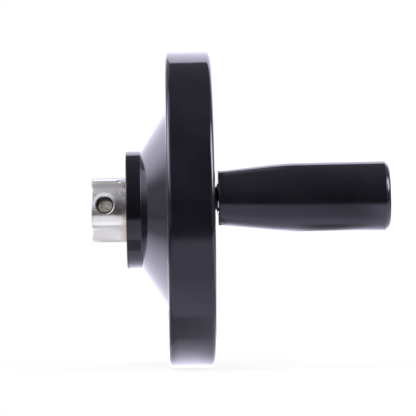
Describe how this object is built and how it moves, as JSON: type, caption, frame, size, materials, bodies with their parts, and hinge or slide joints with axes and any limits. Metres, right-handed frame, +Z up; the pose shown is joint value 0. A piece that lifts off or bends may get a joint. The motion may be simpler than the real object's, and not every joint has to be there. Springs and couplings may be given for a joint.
{
  "type": "machine handwheel",
  "caption": "Dished black phenolic handwheel moulded on a steel bush with a shaft bore and set screw, with a revolving side handle.",
  "frame": {"origin": "centre of the wheel: on the shaft bore's axis, in the middle plane of the rim", "axes": "+Y along the shaft bore towards the machine, so the shaft leaves along +Y; the operator and the handle are at -Y; +Z up; the handle stands near -X, 4.4 degrees above it"},
  "size_m": [0.1255, 0.1147, 0.125],
  "materials": {
    "black_phenolic": "polished black phenolic moulding",
    "black_cap": "gloss black moulded cap",
    "plated_steel": "turned steel with bright plating",
    "screw_steel": "steel with a brownish tarnish",
    "spindle_steel": "turned steel",
    "spring_steel": "phosphated spring steel",
    "insert_brass": "turned brass"
  },
  "bodies": {
    "wheel": {"wheel_body": "black_phenolic", "hub_bush": "plated_steel", "set_screw": "screw_steel", "handle_insert": "insert_brass", "handle_spindle": "spindle_steel", "thrust_washer": "spindle_steel", "retaining_ring": "spring_steel"},
    "revolving_grip": {"grip": "black_phenolic", "end_cap": "black_cap"}
  },
  "joints": [
    {"name": "grip_spin", "type": "hinge", "parent": "wheel", "child": "revolving_grip", "pos_m": [-0.04985, -0.04, 0.00384], "axis": [0, 1, 0], "continuous": true}
  ]
}
